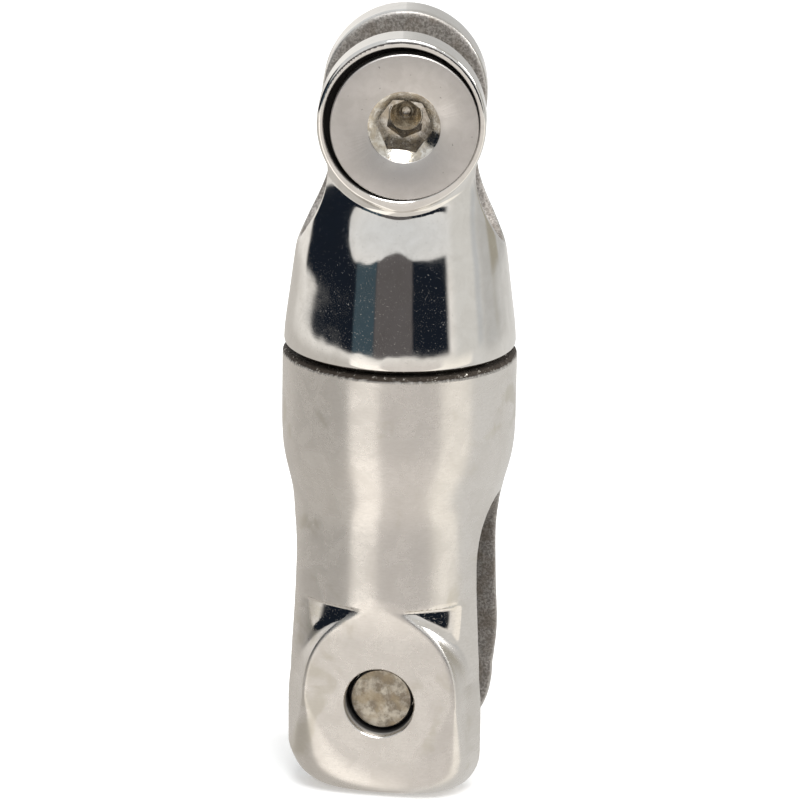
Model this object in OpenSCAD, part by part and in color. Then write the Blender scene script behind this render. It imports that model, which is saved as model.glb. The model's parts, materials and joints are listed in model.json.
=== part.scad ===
// Anchor swivel with two jaws, for joining an anchor's shank to its chain.
// Millimetres. It stands on the ends of its anchor fork, +Z runs up the swivel
// axis towards the chain fork, and the anchor pin lies along Y.

/* [Swivel joint] */
// Height of the top of the barrel, where the two halves meet
joint_h = 58; // [50:0.5:70]
// Outside diameter of the barrel
barrel_d = 30.5; // [28:0.5:34]
// Open gap between the barrel and the bell
ring_gap = 0.6; // [0.5:0.1:1.2]
// Diameter of the swivel bolt's shank
bolt_d = 12; // [10:0.5:13]
// Turn of the chain fork about the swivel axis, in degrees
fork_turn = 8; // [-30:1:30]

/* [Anchor fork] */
// Height of the anchor pin above the fork's ends
anchor_pin_h = 13.2; // [12.4:0.2:15]
// Clear width of the anchor jaw
anchor_jaw_w = 12; // [10:0.5:14]
// Width across the two flat eye faces
anchor_face_w = 25.6; // [24:0.2:27]
// Metal left round the head's counterbore in the eye face
anchor_rim = 0.95; // [0.8:0.05:1.6]
// Metal between the jaw's crown and the bolt's cavity
crown_wall = 4.4; // [4:0.2:6]

/* [Chain fork] */
// Height of the chain pin above the barrel's top
chain_pin_up = 32.2; // [30:0.2:36]
// Clear width of the chain jaw
chain_jaw_w = 12; // [10:0.5:14]
// Width across the two eye faces
chain_face_w = 23.5; // [22:0.2:25]
// Metal left round the head's counterbore in the eye
chain_rim = 1.05; // [0.9:0.05:1.8]
// Height of the jaw's floor above the barrel's top
chain_floor_up = 14.9; // [14:0.2:17]

/* [Pins] */
// Diameter of both pins
pin_d = 8; // [7:0.5:9]
// Height of the shoulder under each pin's head, beyond the grip
shoulder_step = 1; // [0.8:0.1:1.4]
// Diameter of each pin's disc head
head_d = 18.8; // [18:0.2:19]
// Thickness of the disc head
head_t = 2.4; // [2:0.1:3]
// Hexagon socket in the head, across its flats
socket_af = 6.4; // [6:0.2:6.6]
// Diameter of the lock screw in each pin
lock_d = 4.2; // [3.8:0.2:4.6]

/* [Fits] */
// Radial play of a pin or bolt in its hole
run_fit = 0.05; // [0.02:0.01:0.1]
// Radial play of a disc head in its counterbore
head_play = 0.55; // [0.3:0.05:0.6]
// Gap left between neighbouring faces inside the joint
face_gap = 0.12; // [0.1:0.01:0.2]

/* [Hidden] */
$fn = 96;
eps = 0.01;

barrel_r = barrel_d / 2;
shoulder_d = pin_d + 2 * shoulder_step;
anchor_eye_r = head_d / 2 + head_play + anchor_rim;
chain_eye_r = head_d / 2 + head_play + chain_rim;
anchor_waist_r = anchor_face_w / 2 + 0.5;   // round waist, just outside the flats
anchor_belly_r = anchor_waist_r + 0.6;      // fullest level with the pin
lug_end_r = anchor_eye_r + 1.5;             // round end of the head's lug, half width
chain_neck_r = chain_face_w / 2 - 0.05;     // neck, just inside the eye faces
bell_bottom = joint_h + ring_gap;
chain_pin_h = joint_h + chain_pin_up;
chain_floor_h = joint_h + chain_floor_up;
jaw_rise = 9;             // height of the rounded end of each jaw
relief_deep = 1.4;        // pockets beside the top of each anchor eye: depth in
relief_up = 2.1;          // the round waist, height above the eye, half width,
relief_side = 9.4;        // and half the width of the metal that is left
relief_web = 3.6;         // standing between the two
counterbore_t = head_t + 0.35;
pin_tip_inset = 1.9;      // how far the pin's tip stays inside its lug
tip_room = 0.8;           // wider mouth round the tip: extra radius and depth
tip_pocket = 2.3;
tip_r = pin_d / 2 - 0.15; // threaded tip, a touch under the grip's radius
grip_short = 0.1;         // the grip ends this far before the far lug
groove_w = 0.8;           // thread run-out groove behind the grip
groove_deep = 0.5;
washer_t = 0.3;           // thin washer under each disc head
socket_deep = 5.0;
key_af = lock_d + 0.2;    // small hexagon over the lock screw
key_deep = 2.4;
lock_len = 7;
dish_deep = 2;            // conical seat drilled in the lock screw's end
steel = [0.74, 0.72, 0.69];
polished = [0.82, 0.83, 0.85];
dark_steel = [0.55, 0.53, 0.50];
bronze = [0.72, 0.55, 0.32];

// inside the barrel, downwards from its mouth, and then the jaw's crown
washer_r = barrel_r - 5.85;
foot_t = 1.0;
bolt_head_t = 4.4;
load_t = 1.5;
gland_t = 7;
gland_top = joint_h - 0.5;
gland_z = gland_top - gland_t;
load_z = gland_z - face_gap - load_t;
head_z = load_z - face_gap - bolt_head_t;
cavity_floor = head_z - 2 * face_gap - foot_t;
anchor_crown_h = cavity_floor - crown_wall;
gland_r = washer_r + 2.0;
spanner_hole_r = (gland_r - bolt_d / 2 - 1.3) * 0.25;
bush_r = bolt_d / 2 + 1.3;
bolt_top = bell_bottom + 9.0;
seal_t = 1.8;
ring_t = ring_gap - 2 * face_gap;
lock_stub_d = bolt_d - 4;

// ---------- shapes shared by both forks ----------

// A ring or disc from radius r0 to r1, standing on height z.
module ring(r0, r1, z, h) {
  translate([0, 0, z]) difference() {
    cylinder(r = r1, h = h);
    if (r0 > 0) translate([0, 0, -1]) cylinder(r = r0, h = h + 2);
  }
}

// A rod along Y from y0 to y1, at height z.
module rod_y(r, y0, y1, z) {
  translate([0, y0, z]) rotate([-90, 0, 0]) cylinder(r = r, h = y1 - y0);
}

// Side view of a jaw: straight cheeks and a tall rounded end at height 0,
// opening downwards. Two large arcs lean in and a small one closes them.
module jaw_profile(w, rise, len) {
  cap = w * 0.375;
  big = (w * w / 4 + rise * rise - 2 * rise * cap) / (w - 2 * cap);
  meet = cap - cap * (rise - cap) / (big - cap);  // depth where the arcs touch
  intersection() {
    union() {
      translate([0, -cap]) circle(r = cap);
      translate([-w, -len]) square([2 * w, len - meet]);
    }
    union() {
      intersection_for(s = [-1, 1])
        translate([s * (big - w / 2), -rise]) circle(r = big);
      translate([-w / 2, -len]) square([w, len - rise]);
    }
  }
}

// The jaw as a cutter: it runs right through along X.
module jaw(w, rise, len) {
  rotate([90, 0, 90]) translate([0, 0, -25])
    linear_extrude(height = 50) jaw_profile(w, rise, len);
}

// Holes for one pin: disc counterbore and shoulder bore on the -Y side,
// plain bore with a wider mouth on the +Y side.
module pin_holes(face_w, z) {
  f = face_w / 2;
  rod_y(head_d / 2 + head_play, -f - 1, -f + counterbore_t, z);
  rod_y(shoulder_d / 2 + run_fit, -f - 1, 0, z);
  rod_y(tip_r + run_fit, -1, f + 1, z);
  rod_y(tip_r + run_fit + tip_room, f - tip_pocket, f + 1, z);
}

// ---------- forks ----------

// Outline of the anchor fork turned about the swivel axis.
module anchor_outline() {
  waist = anchor_waist_r;
  belly = anchor_belly_r;
  rotate_extrude() polygon([
    [0, 0], [belly - 2.4, 0], [belly - 1.7, 0.8], [belly - 1.0, 2.2],
    [belly - 0.6, 4.4], [belly - 0.2, 8], [belly, anchor_pin_h],
    [belly - 0.2, anchor_pin_h + 4.5], [waist + 0.1, anchor_pin_h + 9],
    [waist, anchor_pin_h + 14], [waist - 0.1, joint_h - 22],
    [waist + 0.02, joint_h - 19.6], [waist + 0.75, joint_h - 17],
    [waist + 1.5, joint_h - 14.2], [barrel_r - 0.12, joint_h - 11.6],
    [barrel_r, joint_h - 9.5], [barrel_r, joint_h - 0.7],
    [barrel_r - 0.7, joint_h], [0, joint_h]]);
}

// Clears the shoulders beside the top of a flat eye face, so the eye
// stands proud of the round waist there.
module eye_relief() {
  h = anchor_eye_r + relief_up;
  for (s = [0, 180]) rotate([0, 0, s]) translate([0, 0, anchor_pin_h])
    difference() {
      translate([-relief_side, 0, 0]) cube([2 * relief_side, 20, h]);
      translate([0, 0, -1]) cylinder(r = anchor_waist_r - relief_deep, h = h + 2);
      rod_y(anchor_eye_r, -1, 21, 0);
      translate([-relief_web, -1, -1]) cube([2 * relief_web, 22, h + 2]);
    }
}

// Room that the eyes may fill near the ends, turned about the swivel axis.
module anchor_foot() {
  belly = anchor_belly_r;
  rotate_extrude() polygon([
    [0, 0], [belly - 2.2, 0], [belly - 0.4, 0.9], [belly + 1.6, 2.5],
    [belly + 3.2, 5], [belly + 4, 8], [belly + 4, joint_h], [0, joint_h]]);
}

// Rounds off the end of the lug that holds the pin's head, down to height 0.
module lug_round() {
  difference() {
    translate([-20, 0, -1]) cube([40, 20, anchor_pin_h + 1]);
    translate([0, 0, anchor_pin_h]) scale([lug_end_r / anchor_pin_h, 1, 1])
      rod_y(anchor_pin_h, -1, 21, 0);
  }
}

module anchor_fork() {
  f = anchor_face_w / 2;
  color(steel) difference() {
    union() {
      difference() {
        intersection() {
          anchor_outline();
          // flat eye faces, and the whole round barrel above them
          union() {
            translate([-20, -f, -1]) cube([40, 2 * f, anchor_pin_h + anchor_eye_r + 1]);
            translate([0, 0, anchor_pin_h + anchor_eye_r - eps]) cylinder(r = 20, h = joint_h);
          }
        }
        eye_relief();
      }
      // round eyes that run straight down to the ends, inside a rounded foot
      intersection() {
        union() {
          rod_y(anchor_eye_r, -f, f, anchor_pin_h);
          translate([-anchor_eye_r + 0.3, -f, 0])
            cube([2 * anchor_eye_r - 0.6, 2 * f, anchor_pin_h]);
        }
        anchor_foot();
      }
    }
    translate([0, 0, anchor_crown_h]) jaw(anchor_jaw_w, jaw_rise, anchor_crown_h + 5);
    lug_round();
    rotate([0, 0, 180]) pin_holes(anchor_face_w, anchor_pin_h);
    translate([0, 0, cavity_floor]) cylinder(r = washer_r + run_fit, h = joint_h);
    translate([0, 0, gland_z]) cylinder(r = gland_r + run_fit, h = joint_h);
  }
}

// Outline of the chain fork's bell and neck turned about the swivel axis.
module bell_outline() {
  neck = chain_neck_r;
  b = barrel_r;
  z = bell_bottom;
  rotate_extrude() polygon([
    [0, z], [b - 0.7, z], [b - 0.2, z + 0.45], [b - 0.25, z + 2.4], [b - 0.55, z + 5.4],
    [b - 0.95, z + 8.4], [b - 1.4, z + 11.2], [b - 1.95, z + 13.8],
    [neck + 0.95, z + 16.2], [neck + 0.45, z + 18.4], [neck + 0.15, z + 20.6],
    [neck, z + 23], [neck, chain_pin_h], [0, chain_pin_h]]);
}

module chain_fork() {
  f = chain_face_w / 2;
  color(polished) rotate([0, 0, fork_turn]) difference() {
    union() {
      bell_outline();
      rod_y(chain_eye_r, -f, f, chain_pin_h);
    }
    translate([0, 0, chain_floor_h]) mirror([0, 0, 1])
      jaw(chain_jaw_w, jaw_rise, chain_pin_up + 20);
    pin_holes(chain_face_w, chain_pin_h);
    translate([0, 0, bell_bottom - 1]) cylinder(r = bolt_d / 2 + run_fit, h = bolt_top - bell_bottom + 1.2);
    translate([0, 0, bell_bottom - 1]) cylinder(r = bolt_d / 2 + seal_t + 0.1, h = seal_t + 1.1);
    translate([0, 0, bell_bottom]) cylinder(r = lock_stub_d / 2 + run_fit, h = chain_pin_up);
  }
}

// ---------- pins, one for each jaw ----------

// Disc-headed pin: head on -Y, shoulder in the near lug, tip in the far lug.
module disc_pin(face_w, jaw_w, z) {
  f = face_w / 2;
  head_in = -f + 0.05;
  tip = f - pin_tip_inset;
  grip_end = jaw_w / 2 - grip_short;
  difference() {
    union() {
      rod_y(head_d / 2, head_in, head_in + head_t, z);
      rod_y(shoulder_d / 2, head_in, -jaw_w / 2, z);
      rod_y(pin_d / 2, -jaw_w / 2 - 1, grip_end, z);
      rod_y(tip_r - groove_deep, 0, tip - 1, z);
      rod_y(tip_r, grip_end + groove_w, tip - 0.5, z);
      translate([0, tip - 0.5, z]) rotate([-90, 0, 0])
        cylinder(r1 = tip_r, r2 = tip_r - 0.5, h = 0.5);
    }
    translate([0, head_in - 1, z]) rotate([-90, 0, 0]) {
      cylinder(r = socket_af / sqrt(3), h = socket_deep + 1, $fn = 6);
      rotate([0, 0, 30]) cylinder(r = key_af / sqrt(3), h = socket_deep + key_deep + 1, $fn = 6);
      cylinder(r = lock_d / 2 + run_fit, h = socket_deep + key_deep + lock_len + 1);
    }
    translate([0, head_in - eps, z]) rotate([-90, 0, 0])
      cylinder(r1 = socket_af / sqrt(3) + 1.05, r2 = socket_af / sqrt(3) - 0.4, h = 1);
  }
}

// Set screw that locks the pin: its end is dished to a cone with a small pit.
module lock_screw(face_w, z) {
  start = -face_w / 2 + 0.05 + socket_deep + key_deep;
  translate([0, start, z]) rotate([-90, 0, 0]) difference() {
    cylinder(r = lock_d / 2, h = lock_len - 0.4);
    translate([0, 0, -eps]) cylinder(r1 = lock_d / 2 - 0.1, r2 = lock_d / 5, h = dish_deep);
    cylinder(r = lock_d / 5, h = dish_deep + 0.5);
  }
}

// Thin washer between a disc head and the floor of its counterbore.
module head_washer(face_w, z) {
  y = -face_w / 2 + counterbore_t - washer_t + 0.02;
  translate([0, y - 0.02, z]) rotate([-90, 0, 0]) difference() {
    cylinder(r = head_d / 2 - 0.4, h = washer_t - 0.02);
    translate([0, 0, -1]) cylinder(r = shoulder_d / 2 + 0.3, h = 3);
  }
}

module anchor_pin() {
  color(steel) rotate([0, 0, 180]) disc_pin(anchor_face_w, anchor_jaw_w, anchor_pin_h);
}
module anchor_pin_lock_screw() {
  color(dark_steel) rotate([0, 0, 180]) lock_screw(anchor_face_w, anchor_pin_h);
}
module anchor_pin_washer() {
  color(dark_steel) rotate([0, 0, 180]) head_washer(anchor_face_w, anchor_pin_h);
}
module chain_pin() {
  color(steel) rotate([0, 0, fork_turn]) disc_pin(chain_face_w, chain_jaw_w, chain_pin_h);
}
module chain_pin_lock_screw() {
  color(dark_steel) rotate([0, 0, fork_turn]) lock_screw(chain_face_w, chain_pin_h);
}
module chain_pin_washer() {
  color(dark_steel) rotate([0, 0, fork_turn]) head_washer(chain_face_w, chain_pin_h);
}

// ---------- inside the swivel joint ----------

// Headed bolt that hangs in the gland nut and screws up into the bell.
module swivel_bolt() {
  color(steel) {
    cylinder_at(washer_r - 0.3, head_z, bolt_head_t);
    cylinder_at(bolt_d / 2, head_z, bolt_top - head_z - 0.8);
    translate([0, 0, bolt_top - 0.8])
      cylinder(r1 = bolt_d / 2, r2 = bolt_d / 2 - 0.8, h = 0.8);
  }
}
module cylinder_at(r, z, h) { translate([0, 0, z]) cylinder(r = r, h = h); }

// Set screw driven down from the jaw's floor onto the bolt's end.
module bolt_lock_screw() {
  z = bolt_top + 0.25;
  len = chain_floor_h - z - 0.6;
  color(dark_steel) rotate([0, 0, fork_turn]) translate([0, 0, z]) difference() {
    cylinder(r = lock_stub_d / 2, h = len);
    translate([0, 0, len - 2.2]) cylinder(r = lock_stub_d / 4 / cos(30), h = 3, $fn = 6);
  }
}

// Threaded collar that keeps the bolt's head in the barrel.
module gland_nut() {
  color(steel) difference() {
    ring(bush_r, gland_r, gland_z + 0.05, gland_top - gland_z - 0.05);
    for (s = [-1, 1]) translate([s * (bush_r + gland_r) / 2, 0, gland_top - 2.5])
      cylinder(r = spanner_hole_r, h = 4);
  }
}

module journal_bush() {
  color(bronze) ring(bolt_d / 2 + run_fit, bush_r - 0.02, gland_z + 0.05, gland_top - gland_z - 0.05);
}
// Carries the anchor's pull, between the bolt's head and the gland nut.
module load_washer() { color(bronze) ring(bolt_d / 2 + 0.3, washer_r - 0.1, load_z, load_t); }
module foot_washer() { color(bronze) ring(0, washer_r - 0.1, cavity_floor + face_gap / 2, foot_t); }
// Thin washer in the open gap between the barrel and the bell.
module ring_washer() {
  color([0.25, 0.24, 0.22]) ring(bolt_d / 2 + seal_t + 0.4, barrel_r - 1.6, joint_h + face_gap, ring_t);
}
// Rubber ring round the bolt, in its groove under the bell.
module bolt_seal() {
  color([0.08, 0.08, 0.08]) translate([0, 0, bell_bottom + seal_t / 2 + 0.05])
    rotate_extrude() translate([bolt_d / 2 + seal_t / 2 + 0.04, 0]) circle(r = seal_t / 2, $fn = 48);
}

anchor_fork();
anchor_pin();
anchor_pin_lock_screw();
anchor_pin_washer();
chain_fork();
chain_pin();
chain_pin_lock_screw();
chain_pin_washer();
swivel_bolt();
bolt_lock_screw();
gland_nut();
journal_bush();
load_washer();
foot_washer();
ring_washer();
bolt_seal();
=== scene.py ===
# %% [markdown]
# # A two-jaw anchor swivel
# An anchor swivel joins an anchor's shank to its chain and lets the chain untwist. Two
# stainless forks turn on each other at the ring line, and each holds a disc-headed pin. This
# lesson dresses a CAD model, whose sizes are fixed, in real castings, turned pins and finishes.

# %% Load the frame
import json
import math
import bmesh
import bpy
import numpy as np
from mathutils import Matrix, Vector

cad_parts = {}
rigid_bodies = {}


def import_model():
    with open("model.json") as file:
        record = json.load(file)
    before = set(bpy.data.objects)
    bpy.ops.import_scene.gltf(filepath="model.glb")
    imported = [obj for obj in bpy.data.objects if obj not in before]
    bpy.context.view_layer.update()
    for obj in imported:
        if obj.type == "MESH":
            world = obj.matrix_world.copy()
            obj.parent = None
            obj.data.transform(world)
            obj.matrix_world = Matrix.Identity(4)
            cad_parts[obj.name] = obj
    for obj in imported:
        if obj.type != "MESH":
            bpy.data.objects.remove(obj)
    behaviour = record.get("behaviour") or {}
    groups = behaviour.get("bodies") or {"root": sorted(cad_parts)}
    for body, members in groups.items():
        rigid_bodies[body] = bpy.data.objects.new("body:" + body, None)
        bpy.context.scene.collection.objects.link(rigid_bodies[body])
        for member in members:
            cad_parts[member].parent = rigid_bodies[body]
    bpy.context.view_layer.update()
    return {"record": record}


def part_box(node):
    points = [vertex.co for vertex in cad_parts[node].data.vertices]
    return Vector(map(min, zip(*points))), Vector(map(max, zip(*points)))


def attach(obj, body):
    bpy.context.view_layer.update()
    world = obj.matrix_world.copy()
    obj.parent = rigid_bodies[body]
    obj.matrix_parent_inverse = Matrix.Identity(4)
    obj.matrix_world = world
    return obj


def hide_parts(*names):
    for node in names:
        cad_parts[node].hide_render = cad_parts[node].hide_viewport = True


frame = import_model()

MM = 0.001


# %% [markdown]
# ## Sizes from the CAD model
# Every height comes from the boxes of the CAD nodes, so a change there moves the looks too.
# Work is done in millimetres, and meshes are scaled to metres when they are made.

# %% Read the heights
def box_mm(node):
    low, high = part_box(node)
    return np.array(low) / MM, np.array(high) / MM


def middle(node):
    low, high = box_mm(node)
    return (low + high) / 2


JOINT = box_mm("anchor_fork")[1][2]
BARREL_R = box_mm("anchor_fork")[1][0]
BELL = box_mm("chain_fork")[0][2]
TOP = box_mm("chain_fork")[1][2]
ANCHOR_PIN = middle("anchor_pin")[2]
CHAIN_PIN = middle("chain_pin")[2]
CHAIN_EYE_R = TOP - CHAIN_PIN
ANCHOR_FACE = 12.8
CHAIN_FACE = 11.75
JAW, ARCH = 6.0, 9.0
axis = next(j for j in frame["record"]["behaviour"]["joints"] if j["name"] == "chain_pin_withdraw")["axis"]
FORK_TURN = math.atan2(axis[0], -axis[1])
print("ring line", JOINT, "pins", ANCHOR_PIN, CHAIN_PIN, "turn", round(math.degrees(FORK_TURN), 2))

# %% [markdown]
# ## Camera
# A long lens far away keeps the two pins' circles almost true. The camera looks down a little
# and stands to the right of the anchor pin's axis, and it leans by under a degree.

# %% Place the camera
VIEW_AZ, VIEW_EL, VIEW_ROLL = math.radians(9.2), math.radians(16.5), math.radians(0.9)
VIEW_DISTANCE = 0.62
VIEW_WIDTH = 0.1043
VIEW_TARGET = Vector((0.00012, 0.0, 0.0507))


def direction(azimuth, elevation):
    return Vector((math.sin(azimuth) * math.cos(elevation),
                   -math.cos(azimuth) * math.cos(elevation), math.sin(elevation)))


camera = bpy.data.objects.new("camera", bpy.data.cameras.new("camera"))
bpy.context.scene.collection.objects.link(camera)
bpy.context.scene.camera = camera
camera.data.sensor_width = 36.0
camera.data.lens = 36.0 * VIEW_DISTANCE / VIEW_WIDTH
back = direction(VIEW_AZ, VIEW_EL)
camera.location = VIEW_TARGET + back * VIEW_DISTANCE
turn = (-back).to_track_quat("-Z", "Y").to_matrix() @ Matrix.Rotation(VIEW_ROLL, 3, "Z")
camera.rotation_euler = turn.to_euler()
camera.data.clip_start, camera.data.clip_end = 0.01, 20
print("lens", round(camera.data.lens, 1), "mm")

# %% [markdown]
# ## Shapes as distance fields
# A forged fork has no sharp joins: the eye grows out of the round neck. Boxes and lathe work
# can't do that, but a distance field can. It is a function that is negative inside the metal,
# zero on its skin and positive outside. A soft minimum of two fields joins them with a fillet,
# and a soft maximum cuts one with another and rounds the edge.


# %% Field tools
def soft_min(a, b, k):
    h = np.clip(0.5 + 0.5 * (b - a) / k, 0, 1)
    return b * (1 - h) + a * h - k * h * (1 - h)


def soft_max(a, b, k):
    return -soft_min(-a, -b, k)


def fair_curve(stations):
    """A smooth curve through a few (height, radius) stations: the natural cubic spline."""
    t, v = np.array(stations, float).T
    n, h = len(t), np.diff(t)
    A, b = np.eye(n), np.zeros(n)
    for i in range(1, n - 1):
        A[i, i - 1:i + 2] = h[i - 1], 2 * (h[i - 1] + h[i]), h[i]
        b[i] = 3 * ((v[i + 1] - v[i]) / h[i] - (v[i] - v[i - 1]) / h[i - 1])
    c = np.linalg.solve(A, b)
    m = np.diff(v) / h - h * (2 * c[:-1] + c[1:]) / 3
    d = np.diff(c) / (3 * h)

    def at(x):
        x = np.clip(x, t[0], t[-1])
        i = np.clip(np.searchsorted(t, x) - 1, 0, n - 2)
        s = x - t[i]
        return v[i] + s * (m[i] + s * (c[i] + s * d[i]))
    return at


def jaw_field(y, up):
    """A jaw seen from its side: straight cheeks, and a tall rounded end above up = 0."""
    return (np.hypot(y / JAW, np.maximum(up, 0) / ARCH) - 1) * JAW


# %% [markdown]
# ## The anchor fork's skin
# A round waist swells into the barrel above and into a belly level with the pin, and grows a
# little square towards the foot. A flat eye stands proud on each face: round above the pin,
# wider below it, with a buffed pocket either side of its top. The lug that holds the pin's head
# ends in a round of its own. The jaw goes right through, and its crown is a tall arch.

# %% Anchor fork field
waist = fair_curve([(0, 13.1), (7, 13.6), (13.2, 14.1), (19, 14.0), (25, 13.72), (31, 13.55),
                    (36.2, 13.4), (39.0, 13.55), (41.2, 14.08), (43.9, 14.78), (46.6, 15.16),
                    (49.5, BARREL_R), (53, BARREL_R), (58, BARREL_R)])
CROWN = 38.7
EYE_HALF, EYE_TOP, EYE_FOOT = 10.9, 11.9, 14.4
LUG_END_R = 12.4
POCKET_TOP, POCKET_FLOOR_R = 12.9, 12.8
BURR = 0.48


def oval(x, up, half_width, half_height, squareness):
    """One on the outline of an oval, under one inside it. Two is an ellipse, more is squarer."""
    return (np.abs(x / half_width) ** squareness + np.abs(up / half_height) ** squareness) ** (1 / squareness)


def pocket_field(x, y, z):
    """The buffed pockets: flats beside the eye's top, that turn outwards as they run down."""
    up = z - ANCHOR_PIN
    facing = np.radians(29 + 1.6 * (12.5 - up))
    floor_r = POCKET_FLOOR_R + 0.19 * (POCKET_TOP - up)
    flat = floor_r - np.abs(x) * np.sin(facing) - np.abs(y) * np.cos(facing)
    return soft_max(flat, up - POCKET_TOP, 0.5)


def anchor_field(x, y, z):
    r = np.hypot(x, y)
    foot = np.clip((5 - z) / 5, 0, 1.4)
    lean = 0.32 * np.clip((47 - z) / 8, 0, 1) * np.clip(-y / 5, -1, 1) * (1 - 1.6 * foot)
    low = np.clip((ANCHOR_PIN + 2 - z) / 10, 0, 1)
    column = oval(x + lean, y, 1.0, 1.0, 2 + 0.6 * low) - waist(z) + 2.8 * foot ** 2
    side, up = np.abs(y), z - ANCHOR_PIN
    column = soft_max(column, -pocket_field(x, y, z), 0.3)
    over = oval(x, up, EYE_HALF, EYE_TOP, 2.1)
    under = oval(x, up, EYE_HALF, EYE_FOOT, 3.4)
    eye = (np.where(up > 0, over, under) - 1) * EYE_HALF
    eye = soft_max(eye, 0.8 * (r - 17.2 + 6.6 * foot ** 2), 3.0)
    metal = soft_min(column, eye, 1.4 + 2.2 * low)
    run_out = 0.03 * np.maximum(z - 21.5, 0) ** 2
    worn = 0.40 + 3.0 * np.clip((ANCHOR_PIN - z) / 9, 0, 1)
    metal = soft_max(metal, side - ANCHOR_FACE - run_out, worn)
    lug_end = (np.hypot(x / LUG_END_R, np.minimum(up, 0) / ANCHOR_PIN) - 1) * LUG_END_R
    lug_end = np.where(y > 0, lug_end - 0.3 * np.maximum(up, 0), -9)
    metal = soft_max(metal, lug_end, 2.0)
    metal = soft_max(metal, -jaw_field(y, z - CROWN + ARCH), 0.8)
    metal = soft_max(metal, -z, 0.8)
    bevel = (r - BARREL_R + z - JOINT + BURR) / math.sqrt(2)
    return soft_max(soft_max(metal, bevel, 0.15), z - JOINT, 0.1)


# %% [markdown]
# ## The chain fork's skin
# The bell narrows into a neck that carries two round eyes. The neck is thinner from front to
# back than from side to side, so it has two outlines. The fork is drawn square to its own pin,
# and the finished mesh is turned about the swivel axis to where the CAD model rests.

# %% Chain fork field
bell_foot = [(0, 15.1), (2.2, 15.02), (4.4, 14.80), (7, 14.46), (9.5, 14.14)]
bell_side = fair_curve(bell_foot + [
    (12, 13.83), (14, 13.52), (15.6, 13.2), (17.1, 12.9), (18.8, 12.55), (20.6, 12.3),
    (22.5, 12.15), (25, 12.05), (33, 12.0)])
bell_front = fair_curve(bell_foot + [
    (12, 13.80), (14, 13.42), (15.6, 13.0), (17.1, 12.5), (18.8, 11.88), (20.6, 11.25),
    (22.5, 10.8), (25, 10.5), (33, 10.4)])
FLOOR = JOINT + 14.9
EYE_NARROWING = 1.028


def chain_field(x, y, z):
    r = np.hypot(x, y)
    side, up = np.abs(y), z - CHAIN_PIN
    front, flank = bell_front(z - JOINT), bell_side(z - JOINT)
    neck = soft_max(np.hypot(x * front / flank, y) - front, up, 0.5)
    eye = soft_max(np.hypot(x * EYE_NARROWING, up) - CHAIN_EYE_R, side - CHAIN_FACE, 0.55)
    metal = soft_min(neck, eye, 1.5)
    metal = soft_max(metal, -jaw_field(y, FLOOR + ARCH - z), 0.9)
    bevel = (r - 15.1 - (z - BELL) + 0.4) / math.sqrt(2)
    return soft_max(soft_max(metal, bevel, 0.3), BELL - z, 0.1)


# %% [markdown]
# ## From field to mesh
# Surface nets turn a field into clean quads. The field is sampled on a grid, each cell that the
# skin crosses gets one point, and each grid edge that it crosses gets one quad. The points are
# then evened out and dropped back on the true skin, so the mesh is smooth and exact.

# %% Surface nets
def gradient(field, p):
    e, parts = 0.02, []
    for i in range(3):
        q, s = p.copy(), p.copy()
        q[:, i] += e
        s[:, i] -= e
        parts.append(field(*q.T) - field(*s.T))
    return np.stack(parts, 1) / (2 * e)


def drop_on_skin(field, p, tries=4):
    for _ in range(tries):
        g = gradient(field, p)
        move = field(*p.T)[:, None] * g / np.maximum((g * g).sum(1), 0.05)[:, None]
        p = p - np.clip(move, -0.3, 0.3)
    return p


def surface_net(field, low, high, step):
    """Points and outward quads of the field's skin, in millimetres."""
    axes = [np.arange(a - 2 * step, b + 3 * step, step) for a, b in zip(low, high)]
    F = field(*np.meshgrid(*axes, indexing="ij"))
    inside = F < 0
    size = np.array(F.shape)
    corners = [(i, j, k) for i in (0, 1) for j in (0, 1) for k in (0, 1)]
    count = sum(inside[i:size[0] - 1 + i, j:size[1] - 1 + j, k:size[2] - 1 + k].astype(np.int8)
                for i, j, k in corners)
    cells = np.argwhere((count > 0) & (count < 8))
    number = -np.ones(count.shape, np.int64)
    number[tuple(cells.T)] = np.arange(len(cells))
    total, hits = np.zeros((len(cells), 3)), np.zeros(len(cells))
    for corner in corners:
        for i in range(3):
            if corner[i]:
                continue
            other = list(corner)
            other[i] = 1
            a, b = F[tuple((cells + corner).T)], F[tuple((cells + other).T)]
            cross = (a < 0) != (b < 0)
            point = np.tile(np.array(corner, float), (len(cells), 1))
            point[:, i] = a / np.where(cross, a - b, 1)
            total[cross] += point[cross]
            hits[cross] += 1
    origin = np.array([ax[0] for ax in axes])
    points = origin + step * (cells + total / hits[:, None])
    quads = []
    for i in range(3):
        j, k = (i + 1) % 3, (i + 2) % 3
        near = inside.take(range(size[i] - 1), i)
        far = inside.take(range(1, size[i]), i)
        edge = np.argwhere(near != far)
        keep = (edge[:, j] > 0) & (edge[:, k] > 0) & (edge[:, j] < size[j] - 1) & (edge[:, k] < size[k] - 1)
        edge = edge[keep]
        ring = []
        for dj, dk in ((-1, -1), (0, -1), (0, 0), (-1, 0)):
            cell = edge.copy()
            cell[:, j] += dj
            cell[:, k] += dk
            ring.append(number[tuple(cell.T)])
        ring = np.stack(ring, 1)
        leaving = near[tuple(edge.T)]
        ring[~leaving] = ring[~leaving][:, ::-1]
        quads.append(ring)
    return points, np.concatenate(quads)


def even_out(field, points, quads, rounds=3):
    for _ in range(rounds):
        total, n = np.zeros_like(points), np.zeros(len(points))
        for a, b in ((0, 1), (1, 2), (2, 3), (3, 0)):
            for p, q in ((a, b), (b, a)):
                np.add.at(total, quads[:, p], points[quads[:, q]])
                np.add.at(n, quads[:, p], 1)
        g = gradient(field, points)
        g /= np.maximum(np.linalg.norm(g, axis=1), 1e-6)[:, None]
        shift = 0.6 * (total / n[:, None] - points)
        shift -= (shift * g).sum(1)[:, None] * g
        points = drop_on_skin(field, points + shift, 2)
    return points


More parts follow.
